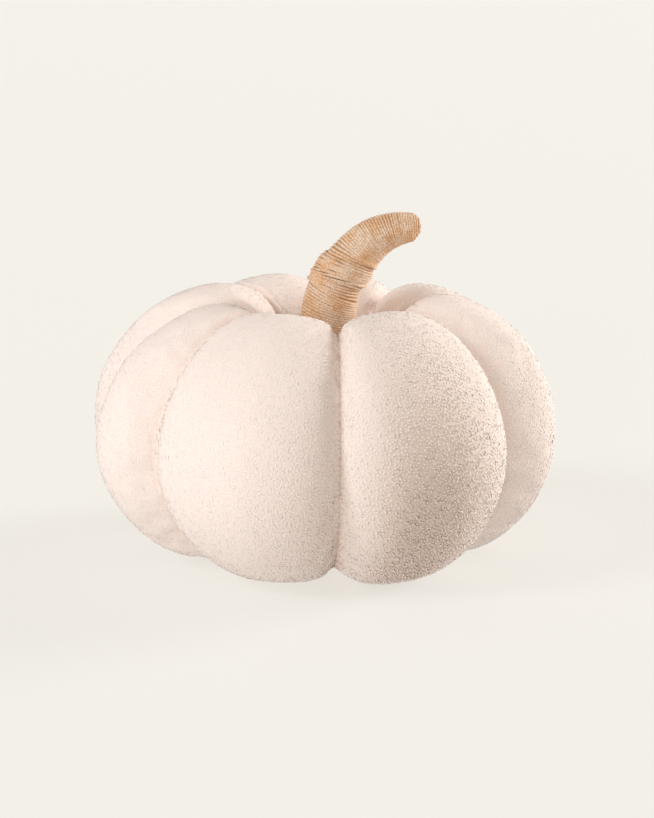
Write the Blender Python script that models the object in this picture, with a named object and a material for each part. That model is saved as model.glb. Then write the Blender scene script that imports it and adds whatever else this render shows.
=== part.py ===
"""A pumpkin-shaped plush cushion with a twine-wound stem, at its real size in metres, +Z up.

The body is one filled solid, sewn from gores: each lobe swells between two seams, and the seams
all follow one curve from the dimple at the top to the gather underneath. The stem stands in the
dimple and leans to the right. The front of the cushion faces -Y.
"""

import math

import bmesh
import bpy
import numpy as np
from mathutils import Vector

# The filled body
HALF_WIDTH = 0.175
FOOT_PRESS = 0.010
DIMPLE_SHIFT_RIGHT = 0.004

# One seam from the dimple to the gather, in half widths out from the axis and up
SEAM = (
    {"at": "dimple floor", "out": 0.150, "up": 0.830},
    {"at": "dimple lip", "out": 0.225, "up": 0.910},
    {"at": "top", "out": 0.404, "up": 1.006},
    {"at": "shoulder", "out": 0.717, "up": 0.812},
    {"at": "waist", "out": 0.806, "up": 0.509},
    {"at": "low side", "out": 0.660, "up": 0.170},
    {"at": "underside", "out": 0.400, "up": 0.030},
    {"at": "gather", "out": 0.080, "up": 0.060},
)

# Each lobe's width round the cushion in degrees, and how far its crest swells past its seams at
# its top, side and foot, in halves of its own width. The last value is how far, in half widths,
# the filling pushes the seam before the lobe outwards.
FIRST_SEAM = 4
LOBE_ROUND = 84
LOBES = (
    {"name": "front right", "width": 60, "top": 0.58, "side": 0.62, "foot": 0.52, "full": 0.040},
    {"name": "right", "width": 40, "top": 0.96, "side": 0.89, "foot": 0.74, "full": 0.015},
    {"name": "back right", "width": 42, "top": 0.86, "side": 1.18, "foot": 0.78, "full": 0.060},
    {"name": "back", "width": 37, "top": 1.04, "side": 0.74, "foot": 0.72, "full": 0.030},
    {"name": "back by stem", "width": 49, "top": 0.88, "side": 0.78, "foot": 0.70, "full": 0.030},
    {"name": "back left", "width": 40, "top": 1.04, "side": 1.18, "foot": 0.74, "full": 0.090},
    {"name": "left", "width": 37, "top": 0.88, "side": 0.98, "foot": 0.56, "full": 0.055},
    {"name": "front left", "width": 55, "top": 0.60, "side": 0.67, "foot": 0.48, "full": 0.075},
)
STEPS_ACROSS_LOBE = 11
STEPS_DOWN_BODY = 36

# The stretch across a lobe, from near its middle to its seam, over which a full seam is pushed out
VALLEY = (0.1, 1.0)

# Stretches of the seam, as shares of the way from the dimple to the gather
SWELL_RISES = (0.0, 0.20)
TOP_TO_SIDE = (0.20, 0.50)
SIDE_TO_FOOT = (0.50, 0.80)
SWELL_FALLS = (0.86, 1.0)
FULL_FALLS = (0.45, 0.80)
DIMPLE_DRAWN_ASIDE = (0.10, 0.45)
SLOPE_STEP = 0.002

# The stem's centre line and radius, from its foot in the dimple to its tip
FOOT_GAP = 0.0003
STEPS_ROUND_STEM = 20
STEPS_UP_STEM = 52
STEM = (
    {"at": "foot", "right": 0.003, "up": 0.000, "radius": 0.0205},
    {"at": "rim of the dimple", "right": 0.003, "up": 0.042, "radius": 0.0205},
    {"at": "first bend", "right": 0.0105, "up": 0.064, "radius": 0.0190},
    {"at": "middle", "right": 0.0205, "up": 0.079, "radius": 0.0174},
    {"at": "second bend", "right": 0.0345, "up": 0.0925, "radius": 0.0154},
    {"at": "neck", "right": 0.050, "up": 0.100, "radius": 0.0127},
    {"at": "tip", "right": 0.071, "up": 0.102, "radius": 0.0098},
)
TIP_ROUND = 0.07

# The main groups of turns, each a low slanting ridge: where it lies along the stem, how broad,
# how proud and how far it slants, and the bearing of its highest side in degrees
TURNS = (
    {"at": 0.33, "broad": 0.040, "proud": 0.0012, "slant": 0.030, "bearing": 20},
    {"at": 0.42, "broad": 0.030, "proud": 0.0016, "slant": -0.035, "bearing": 200},
    {"at": 0.49, "broad": 0.028, "proud": 0.0014, "slant": 0.030, "bearing": 80},
    {"at": 0.57, "broad": 0.032, "proud": 0.0015, "slant": -0.025, "bearing": 150},
    {"at": 0.66, "broad": 0.035, "proud": 0.0008, "slant": 0.015, "bearing": 10},
)

PLUSH = {"colour": (0.80, 0.70, 0.62), "roughness": 0.95}
TWINE = {"colour": (0.62, 0.40, 0.23), "roughness": 0.85}


def clear_scene():
    """Remove what the file opened with."""
    for obj in list(bpy.data.objects):
        bpy.data.objects.remove(obj)


def ease(value, stretch):
    """Rise smoothly from 0 to 1 as value goes from one end of a stretch to the other."""
    way = (value - stretch[0]) / (stretch[1] - stretch[0])
    way = min(max(way, 0.0), 1.0)
    return way * way * (3.0 - 2.0 * way)


def smooth_line(rows):
    """A natural cubic curve through rows of numbers, read by a share from 0 to 1 of its length."""
    points = np.array(rows, float)
    steps = np.linalg.norm(np.diff(points[:, :2], axis=0), axis=1)
    count = len(points)
    bends = np.eye(count)
    pulls = np.zeros(points.shape)
    for i in range(1, count - 1):
        bends[i, i - 1] = steps[i - 1]
        bends[i, i] = 2.0 * (steps[i - 1] + steps[i])
        bends[i, i + 1] = steps[i]
        rise = (points[i + 1] - points[i]) / steps[i]
        pulls[i] = 6.0 * (rise - (points[i] - points[i - 1]) / steps[i - 1])
    curves = np.linalg.solve(bends, pulls)
    places = np.concatenate(([0.0], np.cumsum(steps)))

    def read(share):
        place = share * places[-1]
        i = min(max(int(np.searchsorted(places, place)) - 1, 0), count - 2)
        ahead = places[i + 1] - place
        behind = place - places[i]
        step = steps[i]
        straight = points[i] * ahead / step + points[i + 1] * behind / step
        start_bend = curves[i] * (ahead**3 / step - ahead * step) / 6.0
        end_bend = curves[i + 1] * (behind**3 / step - behind * step) / 6.0
        return straight + start_bend + end_bend

    return read


def make_material(name, finish):
    material = bpy.data.materials.new(name)
    material.use_nodes = True
    shader = material.node_tree.nodes["Principled BSDF"]
    shader.inputs["Base Color"].default_value = (*finish["colour"], 1.0)
    shader.inputs["Roughness"].default_value = finish["roughness"]
    shader.inputs["Metallic"].default_value = 0.0
    return material


def make_object(name, bm, finish):
    """Close off a bmesh as a named, smooth-shaded object with its own material."""
    bmesh.ops.recalc_face_normals(bm, faces=bm.faces)
    mesh = bpy.data.meshes.new(name)
    bm.to_mesh(mesh)
    bm.free()
    mesh.shade_smooth()
    mesh.materials.append(make_material(name, finish))
    obj = bpy.data.objects.new(name, mesh)
    bpy.context.scene.collection.objects.link(obj)
    return obj


def ball_steps(vert, around, down):
    """Which step of a ball's grid a vertex is: how many round from the front, and how many down."""
    turn = math.atan2(vert.co.x, -vert.co.y) % math.tau
    lower = math.acos(max(-1.0, min(1.0, vert.co.z)))
    return round(turn / math.tau * around) % around, round(lower / math.pi * down)


def lobe_point(lobe, start, across, share, seam):
    """A point of a lobe: across runs from -1 to 1 between its seams, share down from the dimple."""
    out, up = seam(share)
    ahead = seam(min(share + SLOPE_STEP, 1.0))
    back = seam(max(share - SLOPE_STEP, 0.0))
    half = math.radians(lobe["width"]) / 2.0
    run_out = (ahead[0] - back[0]) * math.cos(half)
    run_up = ahead[1] - back[1]
    run = math.hypot(run_out, run_up)
    chord = out * math.sin(half)
    swell = lobe["top"] + (lobe["side"] - lobe["top"]) * ease(share, TOP_TO_SIDE)
    swell += (lobe["foot"] - lobe["side"]) * ease(share, SIDE_TO_FOOT)
    swell *= ease(share, SWELL_RISES) * (1.0 - ease(share, SWELL_FALLS))
    bend = math.radians(LOBE_ROUND)
    turn = bend * across
    proud = chord * swell * (math.cos(turn) - math.cos(bend)) / (1.0 - math.cos(bend))
    aside = chord * math.sin(turn) / math.sin(bend)
    reach = out * math.cos(half) - run_up / run * proud
    height = up + run_out / run * proud
    middle = start + half
    right = math.sin(middle) * reach + math.cos(middle) * aside
    forward = -math.cos(middle) * reach + math.sin(middle) * aside
    return Vector((right, forward, height)) * HALF_WIDTH


def valley_lift(point, lobe, after, across, share, seam):
    """How far the filling pushes a point outwards because the seams beside it are full."""
    ahead = seam(min(share + SLOPE_STEP, 1.0))
    back = seam(max(share - SLOPE_STEP, 0.0))
    run_out = ahead[0] - back[0]
    run_up = ahead[1] - back[1]
    run = math.hypot(run_out, run_up)
    full = lobe["full"] * ease(-across, VALLEY) + after["full"] * ease(across, VALLEY)
    full *= ease(share, SWELL_RISES) * (1.0 - ease(share, FULL_FALLS))
    outward = Vector((point.x, point.y, 0.0)).normalized()
    lift = outward * (-run_up / run) + Vector((0.0, 0.0, run_out / run))
    return lift * full * HALF_WIDTH


def lobe_starts():
    """The bearing of each lobe's first seam, from the front towards +X."""
    bearings = [math.radians(FIRST_SEAM)]
    for lobe in LOBES:
        bearings.append(bearings[-1] + math.radians(lobe["width"]))
    return bearings[:-1]


def settle(point, share):
    """Press the feet of the lobes flat where they stand, and draw the dimple aside."""
    lean = DIMPLE_SHIFT_RIGHT * (1.0 - ease(share, DIMPLE_DRAWN_ASIDE))
    height = max(point.z, -FOOT_PRESS)
    if height < FOOT_PRESS:
        height = (height + FOOT_PRESS) ** 2 / (4.0 * FOOT_PRESS)
    return Vector((point.x + lean, point.y, height))


def make_body():
    """The filled body, a ball whose grid is laid over the lobes."""
    seam = smooth_line([(row["out"], row["up"]) for row in SEAM])
    starts = lobe_starts()
    around = STEPS_ACROSS_LOBE * len(LOBES)
    last_ring = STEPS_DOWN_BODY - 1
    shares = [max(ring - 2, 0) / (last_ring - 2) for ring in range(STEPS_DOWN_BODY)]
    bm = bmesh.new()
    bmesh.ops.create_uvsphere(
        bm, u_segments=around, v_segments=STEPS_DOWN_BODY, radius=1.0
    )
    for vert in bm.verts:
        column, ring = ball_steps(vert, around, STEPS_DOWN_BODY)
        if ring == 0:
            vert.co = (DIMPLE_SHIFT_RIGHT, 0.0, SEAM[0]["up"] * HALF_WIDTH)
            continue
        if ring == STEPS_DOWN_BODY:
            vert.co = (0.0, 0.0, SEAM[-1]["up"] * HALF_WIDTH)
            continue
        number = column // STEPS_ACROSS_LOBE
        across = 2.0 * (column % STEPS_ACROSS_LOBE) / STEPS_ACROSS_LOBE - 1.0
        share = shares[ring]
        lobe = LOBES[number]
        after = LOBES[(number + 1) % len(LOBES)]
        point = lobe_point(lobe, starts[number], across, share, seam)
        point += valley_lift(point, lobe, after, across, share, seam)
        point = settle(point, share)
        if ring == 1:
            point.x = (point.x + DIMPLE_SHIFT_RIGHT) / 2.0
            point.y /= 2.0
        vert.co = point
    return make_object("pumpkin_body", bm, PLUSH)


def winding(share, bearing):
    """How far the groups of turns stand proud at a place on the stem."""
    proud = 0.0
    for turns in TURNS:
        lift = turns["slant"] * math.cos(bearing - math.radians(turns["bearing"]))
        away = (share - turns["at"] - lift) / turns["broad"]
        proud += turns["proud"] * math.exp(-away * away)
    return proud


def make_stem():
    """The wound stem, a ball whose grid is laid along the centre line, with a flat foot."""
    line = smooth_line([(row["right"], row["up"], row["radius"]) for row in STEM])
    foot_up = SEAM[0]["up"] * HALF_WIDTH + FOOT_GAP
    last_ring = STEPS_UP_STEM - 1
    bm = bmesh.new()
    bmesh.ops.create_uvsphere(
        bm, u_segments=STEPS_ROUND_STEM, v_segments=STEPS_UP_STEM, radius=1.0
    )
    for vert in bm.verts:
        column, ring = ball_steps(vert, STEPS_ROUND_STEM, STEPS_UP_STEM)
        if ring == STEPS_UP_STEM:
            vert.co = (STEM[0]["right"], 0.0, foot_up)
            continue
        share = 1.0 - ring / last_ring
        right, up, radius = line(share)
        ahead = line(min(share + SLOPE_STEP, 1.0)) - line(max(share - SLOPE_STEP, 0.0))
        along = Vector((ahead[0], 0.0, ahead[1])).normalized()
        if share == 0.0:
            along = Vector((0.0, 0.0, 1.0))
        outer = Vector((along.z, 0.0, -along.x))
        bearing = math.tau * column / STEPS_ROUND_STEM
        radius += winding(share, bearing)
        past = max(share - 1.0 + TIP_ROUND, 0.0) / TIP_ROUND
        radius *= math.sqrt(max(1.0 - past * past, 0.0))
        centre = Vector((right, 0.0, foot_up + up))
        spoke = outer * math.sin(bearing) - Vector((0.0, 1.0, 0.0)) * math.cos(bearing)
        vert.co = centre + spoke * radius
    return make_object("wound_stem", bm, TWINE)


def centre_over_origin(objects):
    """Bring the middle of the whole, seen from above, over the origin."""
    points = [vert.co for obj in objects for vert in obj.data.vertices]
    middle = Vector((0.0, 0.0, 0.0))
    for axis in range(2):
        values = [point[axis] for point in points]
        middle[axis] = (min(values) + max(values)) / 2.0
    for obj in objects:
        for vert in obj.data.vertices:
            vert.co -= middle


clear_scene()
centre_over_origin([make_body(), make_stem()])
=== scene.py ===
# %% [markdown]
# A pumpkin-shaped cushion of curled plush, with a stem wound with jute twine.
# The sewn and filled shapes come from the CAD model. This lesson dresses them: it fills the cover
# with cloth simulation, draws its seams in, grows a curled pile on it and winds a real twine
# round the stem. Then it gives each piece the finish of its fabric. Everything is in metres.

# %% Load the CAD model as the frame
import math

import bmesh
import bpy
import numpy as np
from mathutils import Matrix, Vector, kdtree, noise


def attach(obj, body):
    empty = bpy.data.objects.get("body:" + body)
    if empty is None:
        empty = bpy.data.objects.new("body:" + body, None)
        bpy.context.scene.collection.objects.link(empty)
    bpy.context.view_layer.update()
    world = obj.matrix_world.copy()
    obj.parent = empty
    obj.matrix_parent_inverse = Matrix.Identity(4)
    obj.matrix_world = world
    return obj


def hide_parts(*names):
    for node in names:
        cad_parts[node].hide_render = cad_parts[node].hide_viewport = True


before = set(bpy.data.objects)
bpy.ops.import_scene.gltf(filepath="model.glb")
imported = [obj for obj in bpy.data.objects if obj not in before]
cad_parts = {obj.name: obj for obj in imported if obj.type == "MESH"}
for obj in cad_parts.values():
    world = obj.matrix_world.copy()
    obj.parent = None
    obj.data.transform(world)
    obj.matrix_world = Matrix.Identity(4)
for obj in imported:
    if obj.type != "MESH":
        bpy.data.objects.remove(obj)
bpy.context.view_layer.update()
scene = bpy.context.scene
scene.view_settings.view_transform = "Standard"

# %% [markdown]
# The camera comes first, because every detail is made for what it shows. The cushion stands as a
# buyer sees it on a table, from a little above, and the long lens keeps its sides upright.

# %% Set the camera
LENS = 77.0
CAMERA_ELEVATION = math.radians(14.0)
CAMERA_DISTANCE = 1.33
AIM_HEIGHT = 0.0919
SHIFT_RIGHT = 0.0086
SHIFT_UP = 0.0269

aim = Vector((0.0, 0.0, AIM_HEIGHT))
back = Vector((0.0, -math.cos(CAMERA_ELEVATION), math.sin(CAMERA_ELEVATION)))
camera = bpy.data.objects.new("camera", bpy.data.cameras.new("camera"))
scene.collection.objects.link(camera)
camera.location = aim + back * CAMERA_DISTANCE
camera.rotation_euler = (-back).to_track_quat("-Z", "Y").to_euler()
camera.data.lens = LENS
camera.data.shift_x = SHIFT_RIGHT
camera.data.shift_y = SHIFT_UP
scene.camera = camera
print("The camera is at", [round(value, 3) for value in camera.location])

# %% [markdown]
# The cover of the real cushion is cut in gores, sewn edge to edge and filled with loose fibre.
# A copy of the CAD body is a good pattern for it. Its loose triangles are merged and joined back
# to quads, because cloth and subdivision both follow a clean grid.

# %% Cut the cover
MERGE_DISTANCE = 0.00001
SEAM_BEND = math.radians(-18.0)
FLAT_ANGLE = math.pi


def new_object(name, mesh):
    """An object of its own in the scene, at the origin."""
    piece = bpy.data.objects.new(name, mesh)
    scene.collection.objects.link(piece)
    return piece


cover_bm = bmesh.new()
cover_bm.from_mesh(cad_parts["pumpkin_body"].data)
bmesh.ops.remove_doubles(cover_bm, verts=cover_bm.verts, dist=MERGE_DISTANCE)
bmesh.ops.join_triangles(
    cover_bm,
    faces=cover_bm.faces,
    angle_face_threshold=FLAT_ANGLE,
    angle_shape_threshold=FLAT_ANGLE,
)
crease = cover_bm.edges.layers.float.new("crease_edge")
sewn_edges = 0
for edge in cover_bm.edges:
    if edge.calc_face_angle_signed(0.0) < SEAM_BEND:
        edge[crease] = 1.0
        sewn_edges += 1
cover = new_object("plush_cover", bpy.data.meshes.new("plush_cover"))
cover_bm.to_mesh(cover.data)
cover_bm.free()
print("The cover has", len(cover.data.polygons), "faces and", sewn_edges, "sewn edges")

# %% [markdown]
# The next steps move every vertex of the cover by an amount of its own. A sculptor's brush could do
# it by hand, but a table of numbers is exact and quick, so a few helpers read a mesh as a table
# and write it back. They also find the sewn edges.

# %% Helpers for working on the cover
SEWN = 0.5


def apply_modifiers(piece):
    """Make what the modifiers show the piece's own mesh."""
    shown = piece.evaluated_get(bpy.context.evaluated_depsgraph_get())
    mesh = bpy.data.meshes.new_from_object(shown)
    piece.modifiers.clear()
    old = piece.data
    piece.data = mesh
    mesh.name = piece.name
    bpy.data.meshes.remove(old)


def subdivide(piece):
    """Halve the grid once, as a smooth surface whose seams stay sharp."""
    step = piece.modifiers.new("smooth", "SUBSURF")
    step.levels = 1
    step.render_levels = 1
    apply_modifiers(piece)


def places(mesh):
    """The places of all the vertices, as rows of a table."""
    flat = np.empty(len(mesh.vertices) * 3)
    mesh.vertices.foreach_get("co", flat)
    return flat.reshape(-1, 3)


def normals(mesh):
    """The directions in which the vertices face, as rows of a table."""
    flat = np.empty(len(mesh.vertices) * 3)
    mesh.vertex_normals.foreach_get("vector", flat)
    return flat.reshape(-1, 3)


def move_to(mesh, table):
    """Put the vertices at new places."""
    mesh.vertices.foreach_set("co", table.ravel())
    mesh.update()


def sewn_pairs(mesh):
    """The two vertex numbers of each sewn edge, as rows of a table."""
    sharp = np.zeros(len(mesh.edges), dtype=np.float32)
    mesh.attributes["crease_edge"].data.foreach_get("value", sharp)
    pairs = np.empty(len(mesh.edges) * 2, dtype=np.int32)
    mesh.edges.foreach_get("vertices", pairs)
    return pairs.reshape(-1, 2)[sharp > SEWN]


print("The cover starts with", len(sewn_pairs(cover.data)), "sewn edges")

# %% [markdown]
# Fibre filling presses the cover outwards until the fabric is tight, and only the seams hold it
# back. Cloth simulation with air pressure gives the same shape. The fabric starts a little slack
# and a little too long for its seams, so that it fills out and gathers finely along them.

# %% Fill the cover
SLACK = 0.003
PRESSURE = 4.0
EXTRA_CLOTH = -0.03
LAST_FRAME = 20
MOST_MOVED = 0.004

subdivide(cover)
sewn = np.unique(sewn_pairs(cover.data))
sewn_map = cover.vertex_groups.new(name="sewn")
sewn_map.add([int(number) for number in sewn], 1.0, "REPLACE")
pattern = places(cover.data)
free = np.ones(len(pattern))
free[sewn] = 0.0
move_to(cover.data, pattern - normals(cover.data) * SLACK * free[:, None])
filling = cover.modifiers.new("filling", "CLOTH")
filling.settings.quality = 6
filling.settings.mass = 0.3
filling.settings.tension_stiffness = 20.0
filling.settings.compression_stiffness = 20.0
filling.settings.shear_stiffness = 10.0
filling.settings.bending_stiffness = 0.3
filling.settings.shrink_min = EXTRA_CLOTH
filling.settings.use_pressure = True
filling.settings.uniform_pressure_force = PRESSURE
filling.settings.vertex_group_mass = "sewn"
filling.settings.effector_weights.gravity = 0.0
filling.collision_settings.use_collision = False
filling.point_cache.frame_start = 1
filling.point_cache.frame_end = LAST_FRAME
scene.frame_start = 1
scene.frame_end = LAST_FRAME
for number in range(1, LAST_FRAME + 1):
    scene.frame_set(number)
apply_modifiers(cover)
filled = places(cover.data)
moved = filled - pattern
far = np.linalg.norm(moved, axis=1)
limit = np.minimum(1.0, MOST_MOVED / np.maximum(far, MERGE_DISTANCE))
filled = pattern + moved * limit[:, None]
filled[:, 2] = np.maximum(filled[:, 2], 0.0)
move_to(cover.data, filled)
outward = (moved * normals(cover.data)).sum(axis=1)
print("Filling moved it", np.round(np.percentile(outward, (5, 50, 95)) * 1000, 2), "mm")
cover.vertex_groups.clear()
subdivide(cover)
print("The filled cover has", len(cover.data.polygons), "faces")

# %% [markdown]
# A seam pulls the two gores together, and the pile beside it closes over the stitches. Each
# stitch also draws in a little more than the cloth between them, which leaves short puckers that
# run across the seam. The filling is a little uneven too. The vertices are moved inwards by all
# three amounts, and how near each lies to a seam is kept as the mask of a darker colour along the
# seams: partly pile pressed into them, partly painted shade in their groove.

# %% Draw the seams in
SEAM_DEPTH = 0.0012
SEAM_BREADTH = 0.0035
PUCKER_DEPTH = 0.0012
PUCKER_REACH = 0.010
PUCKER_LENGTH = 0.011
FULLNESS_DEPTH = 0.0009
FULLNESS_LENGTH = 0.045
SEAM_SHADE_BREADTH = 0.0024
POINTS_AN_EDGE = 3


def seam_distance(mesh):
    """How far each vertex is from the nearest of the points set along the seams."""
    pairs = sewn_pairs(mesh).tolist()
    tree = kdtree.KDTree(len(pairs) * POINTS_AN_EDGE)
    for number, (first, second) in enumerate(pairs):
        start = mesh.vertices[first].co
        end = mesh.vertices[second].co
        for part in range(POINTS_AN_EDGE):
            spot = start.lerp(end, part / POINTS_AN_EDGE)
            tree.insert(spot, number * POINTS_AN_EDGE + part)
    tree.balance()
    return np.array([tree.find(vert.co)[2] for vert in mesh.vertices])


away = seam_distance(cover.data)
spots = places(cover.data)
drawn = SEAM_DEPTH * np.exp(-((away / SEAM_BREADTH) ** 2))
puckers = np.array([noise.noise(Vector(spot) / PUCKER_LENGTH) for spot in spots])
drawn += PUCKER_DEPTH * np.exp(-((away / PUCKER_REACH) ** 2)) * puckers
lumps = np.array([noise.noise(Vector(spot) / FULLNESS_LENGTH) for spot in spots])
drawn += FULLNESS_DEPTH * lumps
spots = spots - normals(cover.data) * drawn[:, None]
spots[:, 2] = np.maximum(spots[:, 2], 0.0)
move_to(cover.data, spots)
# near_seam is the mask of the darker colour along the seams, partly pressed pile and partly painted
# shade.
near_seam = cover.data.attributes.new("near_seam", "FLOAT", "POINT")
near_seam.data.foreach_set("value", np.exp(-((away / SEAM_SHADE_BREADTH) ** 2)).astype(np.float32))
cover.data.shade_smooth()
print("The seams reach", int((away < SEAM_BREADTH).sum()), "vertices")

# %% [markdown]
# Teddy plush has a knitted back with polyester pile on it, crimped so that each tuft bends over
# into a tight little curl about two millimetres wide. Bump could only shade the cloth and would
# leave its outline smooth, and the shadows between the curls are what the eye sees, so the curls
# are modelled. One curl is a short tube spun into an arch. It has few faces, because it is
# repeated many thousand times.

# %% Bend one curl
CURL_SPAN = 0.0020
CURL_THICKNESS = 0.0014
CURL_SUNK = 0.0004
CURL_SIDES = 3
CURL_STEPS = 2

curl_bm = bmesh.new()
bmesh.ops.create_circle(curl_bm, segments=CURL_SIDES, radius=CURL_THICKNESS / 2.0)
bmesh.ops.translate(curl_bm, verts=curl_bm.verts, vec=(-CURL_SPAN / 2.0, 0.0, 0.0))
bmesh.ops.spin(
    curl_bm,
    geom=list(curl_bm.verts) + list(curl_bm.edges),
    cent=(0.0, 0.0, 0.0),
    axis=(0.0, 1.0, 0.0),
    angle=math.pi,
    steps=CURL_STEPS,
)
bmesh.ops.holes_fill(curl_bm, edges=curl_bm.edges, sides=CURL_SIDES)
bmesh.ops.recalc_face_normals(curl_bm, faces=curl_bm.faces)
bmesh.ops.translate(curl_bm, verts=curl_bm.verts, vec=(0.0, 0.0, -CURL_SUNK))
CURL_TOP = max(vert.co.z for vert in curl_bm.verts)
# The rise runs from 0 at the root to 1 at the top of the curl; it later sets the painted shade at
# the roots.
rise = curl_bm.verts.layers.float.new("rise")
for vert in curl_bm.verts:
    vert[rise] = max(vert.co.z / CURL_TOP, 0.0)
curl = new_object("curl", bpy.data.meshes.new("curl"))
curl_bm.to_mesh(curl.data)
curl_bm.free()
curl.data.shade_smooth()
print("One curl has", len(curl.data.polygons), "faces and is", round(CURL_TOP * 1000, 2), "mm high")

# %% [markdown]
# The cover is drawn in by the depth of the pile, so that the tips of the curls reach about as far
# as the CAD solid does. It stands on its curls, so nothing of it is lower than their depth.

# %% Draw the cover in for its pile
PILE_DEPTH = 0.0012

spots = places(cover.data) - normals(cover.data) * PILE_DEPTH
spots[:, 2] = np.maximum(spots[:, 2], PILE_DEPTH)
move_to(cover.data, spots)
COVER_TOP = places(cover.data)[:, 2].max()
print("The top of the cover is at", round(COVER_TOP * 1000, 1), "mm")

# %% [markdown]
# Pile that has been stroked lies flat and looks smooth, and pile that has been brushed up stands
# open. A texture map could say where, but a short table of bearings round the cushion is easier to
# change. It says how ruffled the pile is, and hands have stroked it flatter towards the top. The
# same ruffle also sets how much painted shade the roots of the curls and the ground between them
# get.

# %% Say where the pile is ruffled
FIRST_SEAM = math.radians(4.0)
RUFFLES = (
    {"bearing": 2, "ruffle": 0.35},
    {"bearing": 10, "ruffle": 0.45},
    {"bearing": 16, "ruffle": 0.90},
    {"bearing": 22, "ruffle": 1.15},
    {"bearing": 32, "ruffle": 1.10},
    {"bearing": 40, "ruffle": 0.65},
    {"bearing": 50, "ruffle": 0.40},
    {"bearing": 62, "ruffle": 0.25},
    {"bearing": 100, "ruffle": 0.35},
    {"bearing": 240, "ruffle": 0.40},
    {"bearing": 290, "ruffle": 0.10},
    {"bearing": 335, "ruffle": 0.10},
    {"bearing": 352, "ruffle": 0.45},
    {"bearing": 358, "ruffle": 0.55},
)
COMBED_FROM = 0.35
COMBED_SHARE = 0.80


def bearing_of(table):
    """The bearing of each row round the cushion, in degrees from the first seam."""
    return np.degrees(np.arctan2(table[:, 0], -table[:, 1]) - FIRST_SEAM) % 360.0


def ruffle_at(table):
    """How ruffled the pile is at each row."""
    known = [row["bearing"] for row in RUFFLES]
    values = [row["ruffle"] for row in RUFFLES]
    height = table[:, 2] / COVER_TOP
    stroked = np.clip((height - COMBED_FROM) / (1.0 - COMBED_FROM), 0.0, 1.0)
    around = np.interp(bearing_of(table), known, values, period=360.0)
    return around * (1.0 - COMBED_SHARE * stroked)


ruffled = ruffle_at(places(cover.data))
# The cover keeps the ruffle as the mask of the painted shade on its ground.
ground_shade_ruffle = cover.data.attributes.new("ruffle", "FLOAT", "POINT")
ground_shade_ruffle.data.foreach_set("value", ruffled.astype(np.float32))
print("The pile is ruffled from", round(ruffled.min(), 2), "to", round(ruffled.max(), 2))

# %% [markdown]
# The curls could be hair on the cover, but hair can't be exported as a mesh, so Geometry Nodes
# strew them. The roots come first: random points, no two closer than the pitch of the tufts. Each
# keeps its place and the way the cloth faces there. One small function adds a node, makes its
# settings and links its inputs.

# %% Set the roots of the curls


def add_node(tree, kind, settings=None, links=None):
    """A node with its settings made and its inputs linked."""
    node = tree.nodes.new(kind)
    for name, value in (settings or {}).items():
        if isinstance(name, int) or name in node.inputs:
            node.inputs[name].default_value = value
        else:
            setattr(node, name, value)
    for name, source in (links or {}).items():
        tree.links.new(source, node.inputs[name])
    return node


CURL_PITCH = 0.0020
CURL_DENSITY = 900000.0

pile_tree = bpy.data.node_groups.new("curled_pile", "GeometryNodeTree")
pile_tree.interface.new_socket("Cloth", in_out="INPUT", socket_type="NodeSocketGeometry")
pile_tree.interface.new_socket("Curls", in_out="OUTPUT", socket_type="NodeSocketGeometry")
cloth = add_node(pile_tree, "NodeGroupInput")
chosen = add_node(
    pile_tree, "GeometryNodeInputNamedAttribute", {"data_type": "BOOLEAN", "Name": "this_gore"}
)
roots = add_node(
    pile_tree,
    "GeometryNodeDistributePointsOnFaces",
    {"distribute_method": "POISSON", "Distance Min": CURL_PITCH, "Density Max": CURL_DENSITY},
    {"Mesh": cloth.outputs[0], "Selection": chosen.outputs["Attribute"]},
)
facing = add_node(
    pile_tree,
    "GeometryNodeStoreNamedAttribute",
    {"data_type": "FLOAT_VECTOR", "Name": "cloth_facing"},
    {"Geometry": roots.outputs["Points"], "Value": roots.outputs["Normal"]},
)
place = add_node(pile_tree, "GeometryNodeInputPosition")
rooted = add_node(
    pile_tree,
    "GeometryNodeStoreNamedAttribute",
    {"data_type": "FLOAT_VECTOR", "Name": "root_place"},
    {"Geometry": facing.outputs[0], "Value": place.outputs[0]},
)
print("The roots need", len(pile_tree.nodes), "nodes")

# %% [markdown]
# A curl then stands on each root. No two tufts of the real pile are alike, so each is sized, turned
# and leant at random, within limits. The seed stays the same, so the pile comes out the same each
# time. Last, the copies are made real, so that each can be shaped by itself.

# %% Put a curl on each root
SMALLEST_CURL = (0.8, 0.85, 0.5)
LARGEST_CURL = (1.3, 1.2, 0.8)
LEAN = math.radians(25.0)

one_curl = add_node(pile_tree, "GeometryNodeObjectInfo", {"Object": curl})
girth = add_node(
    pile_tree,
    "FunctionNodeRandomValue",
    {"data_type": "FLOAT_VECTOR", 0: SMALLEST_CURL, 1: LARGEST_CURL},
)
tufts = add_node(
    pile_tree,
    "GeometryNodeInstanceOnPoints",
    None,
    {
        "Points": rooted.outputs[0],
        "Instance": one_curl.outputs["Geometry"],
        "Rotation": roots.outputs["Rotation"],
        "Scale": girth.outputs[0],
    },
)
turn = add_node(
    pile_tree,
    "FunctionNodeRandomValue",
    {"data_type": "FLOAT_VECTOR", 0: (-LEAN, -LEAN, 0.0), 1: (LEAN, LEAN, math.tau), "Seed": 1},
)
strewn = add_node(
    pile_tree,
    "GeometryNodeRotateInstances",
    None,
    {"Instances": tufts.outputs[0], "Rotation": turn.outputs[0]},
)
real = add_node(pile_tree, "GeometryNodeRealizeInstances", None, {"Geometry": strewn.outputs[0]})
add_node(pile_tree, "NodeGroupOutput", None, {"Curls": real.outputs[0]})
print("The tree of the pile has", len(pile_tree.nodes), "nodes")

# %% [markdown]
# Each gore is cut and sewn from its own cloth, so each gets its own pile. A curl is then stretched
# up or pressed down from its root by how ruffled its place is. Its normals lean towards the
# cloth's, because light passes through fibre and softens its shading.

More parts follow.
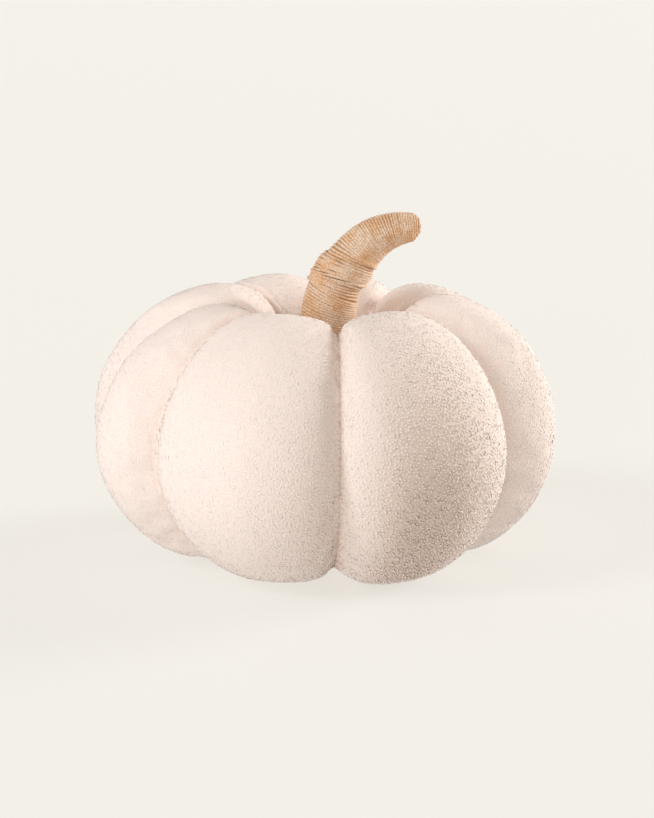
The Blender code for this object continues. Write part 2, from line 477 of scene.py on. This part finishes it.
# %% Grow the pile on each gore
GORES = (
    {"name": "front_right", "width": 60},
    {"name": "right", "width": 40},
    {"name": "back_right", "width": 42},
    {"name": "back", "width": 37},
    {"name": "back_by_stem", "width": 49},
    {"name": "back_left", "width": 40},
    {"name": "left", "width": 37},
    {"name": "front_left", "width": 55},
)
STROKED_STAND = 0.24
RUFFLED_STAND = 1.9


def carried(mesh, name):
    """The vectors that the curls carry from their roots, as rows of a table."""
    flat = np.empty(len(mesh.vertices) * 3)
    mesh.attributes[name].data.foreach_get("vector", flat)
    return flat.reshape(-1, 3)


centres = np.empty(len(cover.data.polygons) * 3)
cover.data.polygons.foreach_get("center", centres)
bearings = bearing_of(centres.reshape(-1, 3))
gore_end = 0
piles = []
for row in GORES:
    pile_piece = new_object("pile_" + row["name"], cover.data.copy())
    gore_start = gore_end
    gore_end += row["width"]
    mark = pile_piece.data.attributes.new("this_gore", "BOOLEAN", "FACE")
    mark.data.foreach_set("value", (bearings >= gore_start) & (bearings < gore_end))
    growth = pile_piece.modifiers.new("pile", "NODES")
    growth.node_group = pile_tree
    apply_modifiers(pile_piece)
    tips = places(pile_piece.data)
    ruffle = ruffle_at(tips)

    towards = carried(pile_piece.data, "cloth_facing")
    heights = ((tips - carried(pile_piece.data, "root_place")) * towards).sum(axis=1)
    stand = STROKED_STAND + RUFFLED_STAND * ruffle
    tips = tips + towards * (heights * (stand - 1.0))[:, None]
    tips[:, 2] = np.maximum(tips[:, 2], 0.0)
    move_to(pile_piece.data, tips)

    # Painted shade at the roots: the rise is pulled towards 1, the tip colour, as far as the pile
    # is stroked, so the root shade shows mostly where the pile is ruffled.
    raised = np.empty(len(tips))
    pile_piece.data.attributes["rise"].data.foreach_get("value", raised)
    pile_piece.data.attributes["rise"].data.foreach_set("value", 1.0 - (1.0 - raised) * ruffle)
    pile_piece.data.shade_smooth()
    own = np.minimum(ruffle, 1.0)[:, None]
    soft = normals(pile_piece.data) * own + towards * (1.0 - own)
    soft /= np.linalg.norm(soft, axis=1, keepdims=True)
    pile_piece.data.normals_split_custom_set_from_vertices(soft.tolist())
    piles.append(pile_piece)
    print(pile_piece.name, "has", len(tips) // len(curl.data.vertices), "curls")
bpy.data.objects.remove(curl)
print("The pile has", sum(len(piece.data.polygons) for piece in piles), "faces")

# %% [markdown]
# The stem is a stuffed core with jute twine wound round it from the dimple to the tip. Both follow
# one bent centre line, on which the radius shrinks towards the tip. A natural cubic through a few
# measured points bends as evenly as the stem does, and the solid's line was made in the same way.

# %% The stem's centre line
STEM_AXIS = Vector((0.00365, 0.00018, 0.14555))
STEM = (
    {"at": "foot", "right": 0.003, "up": 0.000, "radius": 0.0205},
    {"at": "rim of the dimple", "right": 0.003, "up": 0.042, "radius": 0.0205},
    {"at": "first bend", "right": 0.0105, "up": 0.064, "radius": 0.0190},
    {"at": "middle", "right": 0.0205, "up": 0.079, "radius": 0.0174},
    {"at": "second bend", "right": 0.0345, "up": 0.0925, "radius": 0.0154},
    {"at": "neck", "right": 0.050, "up": 0.100, "radius": 0.0127},
    {"at": "tip", "right": 0.071, "up": 0.102, "radius": 0.0098},
)
LINE_STEPS = 400


def smooth_rows(rows, count):
    """Points on a natural cubic through the rows, evenly spaced along it."""
    rows = np.array(rows)
    knots = np.concatenate(([0.0], np.cumsum(np.linalg.norm(np.diff(rows, axis=0), axis=1))))
    gaps = np.diff(knots)
    size = len(rows)
    matrix = np.eye(size)
    pull = np.zeros_like(rows)
    for row in range(1, size - 1):
        matrix[row, row - 1] = gaps[row - 1]
        matrix[row, row] = 2.0 * (gaps[row - 1] + gaps[row])
        matrix[row, row + 1] = gaps[row]
        slope_after = (rows[row + 1] - rows[row]) / gaps[row]
        slope_before = (rows[row] - rows[row - 1]) / gaps[row - 1]
        pull[row] = 6.0 * (slope_after - slope_before)
    bends = np.linalg.solve(matrix, pull)
    points = []
    for value in np.linspace(0.0, knots[-1], count):
        span = min(int(np.searchsorted(knots, value, side="right")) - 1, size - 2)
        gap = gaps[span]
        after = (value - knots[span]) / gap
        before = 1.0 - after
        point = before * rows[span] + after * rows[span + 1]
        point = point + ((before**3 - before) * bends[span]) * gap * gap / 6.0
        point = point + ((after**3 - after) * bends[span + 1]) * gap * gap / 6.0
        points.append(point)
    return np.array(points)


stem_line = smooth_rows([(row["right"], row["up"], row["radius"]) for row in STEM], LINE_STEPS)
steps = np.linalg.norm(np.diff(stem_line[:, :2], axis=0), axis=1)
run = np.concatenate(([0.0], np.cumsum(steps)))
STEM_LENGTH = run[-1]
print("The stem's centre line is", round(STEM_LENGTH * 1000, 1), "mm long")

# %% [markdown]
# A hand that winds a stem follows its middle, its direction and its thickness. Three helpers give
# these at any distance from the foot. The direction is measured between two near points of the
# line, and near the tip the radius shrinks to nothing, so that the twine closes over the end.

# %% Measure along the stem
LOOK_AHEAD = 0.002
TIP_ROUND = 0.008


def on_line(distance):
    """How far right, how far up and how thick the stem is at a distance along it."""
    return [np.interp(distance, run, stem_line[:, column]) for column in range(3)]


def stem_frame(distance):
    """The centre, the direction and the outer side at a distance along the stem."""
    right, up, _ = on_line(distance)
    right_before, up_before, _ = on_line(max(distance - LOOK_AHEAD, 0.0))
    right_after, up_after, _ = on_line(min(distance + LOOK_AHEAD, STEM_LENGTH))
    along = Vector((right_after - right_before, 0.0, up_after - up_before)).normalized()
    outer = Vector((along.z, 0.0, -along.x))
    return STEM_AXIS + Vector((right, 0.0, up)), along, outer


def wound_radius(distance):
    """The radius of the wound stem, which its tip rounds off like the end of an egg."""
    past = max(distance - (STEM_LENGTH - TIP_ROUND), 0.0) / TIP_ROUND
    inside = min(max(distance, 0.0), STEM_LENGTH)
    return on_line(inside)[2] * math.sqrt(max(1.0 - past * past, 0.0))


print("The tip is", round(wound_radius(STEM_LENGTH - TIP_ROUND) * 2000, 1), "mm thick")

# %% [markdown]
# The twine could be a plain screw line, but the real one was laid by hand. Its turns are laid here
# one after another, in legs that each wind up to a share of the stem's length at their own pitch
# and slant. A leg with a negative pitch winds back down over the turns before it, as the proud
# group at mid height shows. Towards the tip the turns lie square and close.

# %% Wind the twine
TWINE_WIDTH = 0.0023
POINT_SPACING = 0.0012
FIRST_TURN = TWINE_WIDTH * 0.6
LAST_TURN = STEM_LENGTH - TWINE_WIDTH * 0.4
LEAST_RADIUS = 0.0012
SLANT_EASE = 0.09
WANDER = 0.0003
WANDER_A_TURN = 0.35
WANDER_A_METRE = 60.0
WANDER_SEED = 3.1
SQUARE_AT_FOOT = 0.012
SQUARE_AT_TIP = 0.02
LEGS = (
    {"to": 0.38, "pitch": 0.0020, "slant": 10, "toward": 0},
    {"to": 0.43, "pitch": 0.0021, "slant": -6, "toward": 0},
    {"to": 0.50, "pitch": 0.0021, "slant": -17, "toward": 0},
    {"to": 0.56, "pitch": 0.0021, "slant": -13, "toward": 15},
    {"to": 0.45, "pitch": -0.0040, "slant": -8, "toward": 0},
    {"to": 0.56, "pitch": 0.0022, "slant": -19, "toward": -15},
    {"to": 0.50, "pitch": -0.0032, "slant": -11, "toward": 20},
    {"to": 0.60, "pitch": 0.0022, "slant": -12, "toward": 0},
    {"to": 0.86, "pitch": 0.00176, "slant": 0, "toward": 0},
    {"to": 1.00, "pitch": 0.00168, "slant": 0, "toward": 0},
)


def on_stem(distance, bearing, lift):
    """The middle of the twine on the stem, or lifted off it."""
    centre, _, outer = stem_frame(min(max(distance, 0.0), STEM_LENGTH))
    spoke = outer * math.sin(bearing) - Vector((0.0, 1.0, 0.0)) * math.cos(bearing)
    return centre + spoke * (max(wound_radius(distance) - TWINE_WIDTH * 0.5, 0.0) + lift)


route = []
distance = FIRST_TURN
bearing = 0.0
slant = LEGS[0]["slant"]
toward = LEGS[0]["toward"]
for leg in LEGS:
    goal = min(leg["to"] * STEM_LENGTH, LAST_TURN)
    while (goal - distance) * leg["pitch"] > 0.0:
        radius = max(wound_radius(distance), LEAST_RADIUS)
        step = POINT_SPACING / radius
        slant += (leg["slant"] - slant) * step * SLANT_EASE
        toward += (leg["toward"] - toward) * step * SLANT_EASE
        bearing += step
        distance += leg["pitch"] * step / math.tau
        tilt = math.tan(math.radians(slant)) * radius
        square = min((STEM_LENGTH - distance) / SQUARE_AT_TIP, 1.0, distance / SQUARE_AT_FOOT)
        shift = tilt * math.sin(bearing - math.radians(toward)) * square
        spot = Vector((bearing * WANDER_A_TURN, distance * WANDER_A_METRE, WANDER_SEED))
        route.append((distance - shift + WANDER * noise.noise(spot), bearing))
lifts = np.zeros(len(route))
laid = [on_stem(distance, bearing, 0.0) for distance, bearing in route]
print("The winding has", round(route[-1][1] / math.tau, 1), "turns and", len(route), "points")

# %% [markdown]
# Twine can't pass through twine. Where a later turn comes closer to an earlier one than its own
# width, it is lifted off the stem, and the lift is smoothed along the twine, which is too stiff
# to bend sharply. A search tree finds the near turns quickly.

# %% Let crossing turns climb over each other
CLEAR = TWINE_WIDTH * 0.86
SAME_STRETCH = 14
CLIMB = 0.9
MOST_LIFT = 0.0034
SWEEPS = 2
STIFFNESS = 11

spread = np.hanning(STIFFNESS)
spread /= spread.sum()
for _ in range(SWEEPS):
    tree = kdtree.KDTree(len(laid))
    for number, point in enumerate(laid):
        tree.insert(point, number)
    tree.balance()
    raised = lifts.copy()
    for number, point in enumerate(laid):
        for _, other, gap in tree.find_range(point, CLEAR):
            if other < number - SAME_STRETCH:
                raised[number] = max(raised[number], lifts[other] + (CLEAR - gap) * CLIMB)
    lifts = np.convolve(np.minimum(raised, MOST_LIFT), spread, mode="same")
    laid = [on_stem(distance, bearing, lift) for (distance, bearing), lift in zip(route, lifts)]
print("Crossing turns climb up to", round(lifts.max() * 1000, 2), "mm")

# %% [markdown]
# Jute twine is two plies twisted round each other. A curve swept with an oval outline that turns
# as it runs gives their ridges, with far fewer faces than two strands of their own would need.

# %% Spin two plies into the twine
PLY_TURN = 0.0075
PROFILE_POINTS = 10
VALLEY = 0.84

curve = bpy.data.curves.new("stem_twine", "CURVE")
curve.dimensions = "3D"
curve.use_fill_caps = True
curve.twist_mode = "MINIMUM"
spline = curve.splines.new("POLY")
spline.points.add(len(laid) - 1)
for number, point in enumerate(laid):
    spline.points[number].co = (point.x, point.y, point.z, 1.0)
    spline.points[number].tilt = math.tau * number * POINT_SPACING / PLY_TURN
profile_curve = bpy.data.curves.new("ply_pair", "CURVE")
profile_curve.dimensions = "2D"
outline = profile_curve.splines.new("POLY")
outline.points.add(PROFILE_POINTS - 1)
for number in range(PROFILE_POINTS):
    turn = math.tau * number / PROFILE_POINTS
    reach = TWINE_WIDTH * 0.5 * (VALLEY + (1.0 - VALLEY) * abs(math.cos(turn)))
    outline.points[number].co = (reach * math.cos(turn), reach * math.sin(turn), 0.0, 1.0)
outline.use_cyclic_u = True
profile = new_object("ply_pair", profile_curve)
curve.bevel_mode = "OBJECT"
curve.bevel_object = profile
spun = new_object("spun", curve)
shown = spun.evaluated_get(bpy.context.evaluated_depsgraph_get())
twine = new_object("stem_twine", bpy.data.meshes.new_from_object(shown))
bpy.data.objects.remove(spun)
bpy.data.objects.remove(profile)
twine_bm = bmesh.new()
twine_bm.from_mesh(twine.data)
bmesh.ops.recalc_face_normals(twine_bm, faces=twine_bm.faces)
twine_bm.to_mesh(twine.data)
twine_bm.free()
twine.data.shade_smooth()
print("The twine has", len(twine.data.polygons), "faces")

# %% [markdown]
# Under the twine the real stem is a small stuffed tube. Between the turns only its colour shows,
# so rings round the same centre line, bridged and closed at both ends, are enough for it.

# %% The stuffed core under the twine
CORE_RINGS = 60
CORE_SIDES = 28
CORE_UNDER = TWINE_WIDTH * 0.40
CORE_LEAST = 0.0006

core_bm = bmesh.new()
rings = []
for number in range(CORE_RINGS):
    distance = STEM_LENGTH * number / (CORE_RINGS - 1)
    centre, along, _ = stem_frame(distance)
    radius = max(wound_radius(distance) - CORE_UNDER, CORE_LEAST)
    ring = bmesh.ops.create_circle(core_bm, segments=CORE_SIDES, radius=radius)["verts"]
    turn = along.to_track_quat("Z", "Y").to_matrix()
    bmesh.ops.rotate(core_bm, verts=ring, cent=(0.0, 0.0, 0.0), matrix=turn)
    bmesh.ops.translate(core_bm, verts=ring, vec=centre)
    rings.append({edge for vert in ring for edge in vert.link_edges})
for lower, upper in zip(rings, rings[1:]):
    bmesh.ops.bridge_loops(core_bm, edges=list(lower | upper))
bmesh.ops.holes_fill(core_bm, edges=core_bm.edges, sides=CORE_SIDES)
bmesh.ops.recalc_face_normals(core_bm, faces=core_bm.faces)
core = new_object("stem_core", bpy.data.meshes.new("stem_core"))
core_bm.to_mesh(core.data)
core_bm.free()
core.data.shade_smooth()
print("The core has", len(core.data.polygons), "faces")

# %% [markdown]
# Colours are written as sRGB hex values, because they can be picked from a screen. One function
# turns them to the linear values that a shader works with, and one starts each material.

# %% Helpers for materials


def linear(code):
    """The linear colour of an sRGB hex value, with full opacity."""
    values = [int(code[start : start + 2], 16) / 255.0 for start in (1, 3, 5)]
    parts = [v / 12.92 if v <= 0.04045 else ((v + 0.055) / 1.055) ** 2.4 for v in values]
    return (*parts, 1.0)


def new_material(name):
    """A material with its tree cleared but for the output."""
    material = bpy.data.materials.new(name)
    material.use_nodes = True
    tree = material.node_tree
    tree.nodes.clear()
    print("Made the finish", name)
    return material, tree, tree.nodes.new("ShaderNodeOutputMaterial")


print("Middle grey is", round(linear("#808080")[0], 3), "in linear light")

# %% [markdown]
# The pile is polyester fibre, matte and nearly white with a breath of pink. Its roots are given a
# warmer, darker colour than its tips, as painted shade deep in the pile, and more so where the
# pile is ruffled. Near a seam it is multiplied darker again: partly pile pressed into the seam,
# partly painted shade in the seam groove. Polyester's IOR is about 1.57, but loose fibres scatter
# every glint, so the gloss is left out. Sheen is left out too, because the curls themselves catch
# the light at the edges.

# %% The curled pile
near_white_pile, tree, output = new_material("curled_polyester_pile")
# Painted shade: the rise mixes a darker root colour into the tip colour of each curl.
height = add_node(tree, "ShaderNodeAttribute", {"attribute_name": "rise"})
root_shade = add_node(
    tree,
    "ShaderNodeMix",
    {"data_type": "RGBA", 6: linear("#DCC9BC"), 7: linear("#FBF0E9")},
    {0: height.outputs["Fac"]},
)
# Painted shade along the seams, partly also pressed pile: near_seam multiplies the pile darker.
seam_shade_mask = add_node(tree, "ShaderNodeAttribute", {"attribute_name": "near_seam"})
pressed_and_shaded = add_node(
    tree,
    "ShaderNodeMix",
    {"data_type": "RGBA", "blend_type": "MULTIPLY", 7: linear("#E2D2C6")},
    {0: seam_shade_mask.outputs["Fac"], 6: root_shade.outputs[2]},
)
fibres = add_node(
    tree,
    "ShaderNodeBsdfPrincipled",
    {"Roughness": 0.95, "IOR": 1.57, "Specular IOR Level": 0.0},
    {"Base Color": pressed_and_shaded.outputs[2]},
)
tree.links.new(fibres.outputs[0], output.inputs["Surface"])
for piece in piles:
    piece.data.materials.clear()
    piece.data.materials.append(near_white_pile)

# %% [markdown]
# Between the curls the knitted polyester back shows. Stroked pile covers it with pale fibre. Where
# the pile stands open its ground is coloured warmer and darker: partly the bare back, partly
# painted shade between the open curls. It is as matte as the pile. Its stitches are hidden, so it
# needs no relief of its own.

# %% The knitted back
knitted_back, tree, output = new_material("knitted_polyester_back")
# Painted shade between open curls, partly the bare back: the ruffle darkens the ground.
opened = add_node(tree, "ShaderNodeAttribute", {"attribute_name": "ruffle"})
bared_and_shaded_ground = add_node(
    tree,
    "ShaderNodeMix",
    {"data_type": "RGBA", 6: linear("#F7E7DD"), 7: linear("#DFCDBF")},
    {0: opened.outputs["Fac"]},
)
ground = add_node(
    tree,
    "ShaderNodeBsdfPrincipled",
    {"Roughness": 0.95, "IOR": 1.57, "Specular IOR Level": 0.0},
    {"Base Color": bared_and_shaded_ground.outputs[2]},
)
tree.links.new(ground.outputs[0], output.inputs["Surface"])
cover.data.materials.clear()
cover.data.materials.append(knitted_back)

# %% [markdown]
# Jute twine is two plies of stiff golden bast fibre, spun and twisted together and left natural.
# The eye sees pale and brown streaks about a millimetre across, and a slow change over several
# turns between pinkish and golden fibre, which two noise textures give. The finer one also raises
# a slight relief of fibres. Bast fibre shines a little, so it keeps a weak gloss and sheen.

# %% The jute twine
STREAK = 0.0012
SHADE_LENGTH = 0.012
FIBRE_RELIEF = 0.0003

jute, tree, output = new_material("natural_jute_twine")
where = add_node(tree, "ShaderNodeTexCoord")
fine = add_node(
    tree,
    "ShaderNodeTexNoise",
    {"Scale": 1.0 / STREAK, "Detail": 3.0, "Roughness": 0.7},
    {"Vector": where.outputs["Object"]},
)
broad = add_node(
    tree,
    "ShaderNodeTexNoise",
    {"Scale": 1.0 / SHADE_LENGTH, "Detail": 2.0},
    {"Vector": where.outputs["Object"]},
)
streaks = add_node(
    tree,
    "ShaderNodeMapRange",
    {"interpolation_type": "SMOOTHSTEP", 1: 0.20, 2: 0.80, 3: 0.0, 4: 1.0},
    {0: fine.outputs["Fac"]},
)
strands = add_node(
    tree,
    "ShaderNodeMix",
    {"data_type": "RGBA", 6: linear("#BE9973"), 7: linear("#FAE5D0")},
    {0: streaks.outputs[0]},
)
golden = add_node(
    tree,
    "ShaderNodeMapRange",
    {"interpolation_type": "SMOOTHSTEP", 1: 0.30, 2: 0.70, 3: 0.0, 4: 1.0},
    {0: broad.outputs["Fac"]},
)
tinted = add_node(
    tree,
    "ShaderNodeMix",
    {"data_type": "RGBA", "blend_type": "MULTIPLY", 7: linear("#F6DFC0")},
    {0: golden.outputs[0], 6: strands.outputs[2]},
)
rough = add_node(
    tree,
    "ShaderNodeBump",
    {"Strength": 0.5, "Distance": FIBRE_RELIEF},
    {"Height": fine.outputs["Fac"]},
)
fibre = add_node(
    tree,
    "ShaderNodeBsdfPrincipled",
    {"Roughness": 0.75, "IOR": 1.5, "Specular IOR Level": 0.3, "Sheen Weight": 0.25},
    {"Base Color": tinted.outputs[2], "Normal": rough.outputs[0]},
)
tree.links.new(fibre.outputs[0], output.inputs["Surface"])
twine.data.materials.clear()
twine.data.materials.append(jute)

# %% [markdown]
# The core of such a stem is brown felt, stuffed and matte. It shows only as the ground of the thin
# gaps between the turns, so one plain colour is enough.

# %% The felt core
core_finish, tree, output = new_material("stuffed_brown_felt")
felt = add_node(
    tree, "ShaderNodeBsdfPrincipled", {"Base Color": linear("#A98357"), "Roughness": 0.95}
)
tree.links.new(felt.outputs[0], output.inputs["Surface"])
core.data.materials.append(core_finish)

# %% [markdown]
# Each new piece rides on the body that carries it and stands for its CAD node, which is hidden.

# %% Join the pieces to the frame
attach(cover, "root")
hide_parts("pumpkin_body")
for piece in piles:
    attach(piece, "root")
    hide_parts("pumpkin_body")
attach(twine, "root")
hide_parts("wound_stem")
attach(core, "root")
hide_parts("wound_stem")
print("Joined", len(piles) + 3, "pieces to the frame")

# %% [markdown]
# The cushion stands on a plain pale floor, so wide that its edge lies out of sight. Paint alone
# would look grey under these lamps, so the floor also gives off light of its own, which makes it
# as pale as studio paper. It is kept out of diffuse light and casts no shadow.

# %% Lay the floor
FLOOR_SIZE = 600.0

floor_bm = bmesh.new()
bmesh.ops.create_grid(floor_bm, x_segments=1, y_segments=1, size=FLOOR_SIZE / 2.0)
floor = new_object("floor", bpy.data.meshes.new("floor"))
floor_bm.to_mesh(floor.data)
floor_bm.free()
floor.visible_diffuse = False
floor.visible_shadow = False
floor_finish, tree, output = new_material("pale_painted_floor")
paint = add_node(
    tree,
    "ShaderNodeBsdfPrincipled",
    {
        "Base Color": linear("#8A8985"),
        "Roughness": 0.9,
        "Specular IOR Level": 0.1,
        "Emission Color": linear("#F5F2EB"),
        "Emission Strength": 0.70,
    },
)
tree.links.new(paint.outputs[0], output.inputs["Surface"])
floor.data.materials.append(floor_finish)
print("The floor is", FLOOR_SIZE, "m wide")

# %% [markdown]
# The studio is white all round. A soft key light comes from the upper left and a weak one from the
# front. A stronger one from behind on the right brightens that side. In a real studio the table
# throws light back up at the underside. One weak lamp from below does this evenly here, and it
# passes through the floor, because the floor casts no shadow.

# %% Light the studio
LIGHTS = (
    {"name": "key", "power": 1.14, "angle": 20, "tint": "#F4F8FF", "from": (-0.74, -0.35, 0.57)},
    {"name": "front", "power": 0.68, "angle": 20, "tint": "#FFFFFF", "from": (-0.34, -0.94, 0.05)},
    {"name": "rim", "power": 2.80, "angle": 25, "tint": "#FFFFFF", "from": (0.90, 0.36, 0.22)},
    {"name": "table", "power": 0.50, "angle": 60, "tint": "#F4F8FF", "from": (-0.71, -0.41, -0.57)},
)
STUDIO_STRENGTH = 0.60

world = bpy.data.worlds.new("studio")
world.use_nodes = True
scene.world = world
world.node_tree.nodes["Background"].inputs["Color"].default_value = linear("#FFF8F0")
world.node_tree.nodes["Background"].inputs["Strength"].default_value = STUDIO_STRENGTH
for row in LIGHTS:
    lamp = bpy.data.lights.new(row["name"], "SUN")
    lamp.energy = row["power"]
    lamp.angle = math.radians(row["angle"])
    lamp.color = linear(row["tint"])[:3]
    light = new_object(row["name"], lamp)
    light.rotation_euler = Vector(row["from"]).to_track_quat("Z", "Y").to_euler()
print("Lights:", ", ".join(row["name"] for row in LIGHTS))
